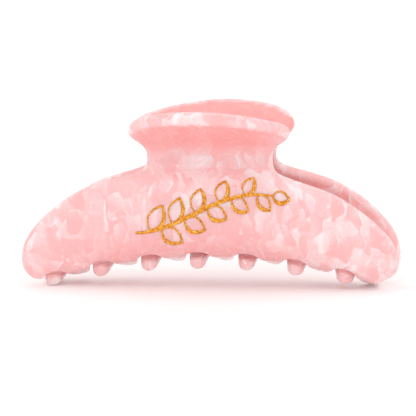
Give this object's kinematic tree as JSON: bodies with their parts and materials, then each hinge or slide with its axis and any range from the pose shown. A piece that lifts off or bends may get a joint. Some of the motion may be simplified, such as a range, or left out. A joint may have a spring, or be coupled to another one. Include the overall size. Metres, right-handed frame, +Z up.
{
  "type": "claw clip",
  "caption": "Large hair claw clip of marbled pink acetate sheet: curved jaws with interlocking fingers on a sprung steel hinge pin, and a gold foil sprig on the front.",
  "frame": {"origin": "on the surface the clip stands on, below the hinge axis", "axes": "+X along the clip and the hinge axis, +Z up towards the grips, front jaw with the foil sprig on the -Y side"},
  "size_m": [0.1034, 0.0414, 0.0498],
  "materials": {
    "acetate_front": "polished, marbled with pearly flakes",
    "acetate_rear": "polished, marbled with pearly flakes",
    "acetate_lugs": "polished",
    "steel": "nickel plated",
    "gold_foil": "glitter foil"
  },
  "bodies": {
    "front_half": {"front_jaw": "acetate_front", "front_outer_lug": "acetate_lugs", "front_inner_lug": "acetate_lugs", "hinge_pin": "steel", "pin_washer_left": "steel", "pin_washer_right": "steel", "torsion_spring": "steel", "foil_sprig": "gold_foil"},
    "rear_half": {"rear_jaw": "acetate_rear", "rear_outer_lug": "acetate_lugs", "rear_inner_lug": "acetate_lugs"}
  },
  "joints": [
    {"name": "jaw_hinge", "type": "hinge", "parent": "front_half", "child": "rear_half", "pos_m": [0, 0, 0.03636], "axis": [1, 0, 0], "range_deg": [0, 60], "stiffness_Nm_per_rad": 0.1, "springref_deg": -45.84, "deforming": ["torsion_spring"]}
  ]
}
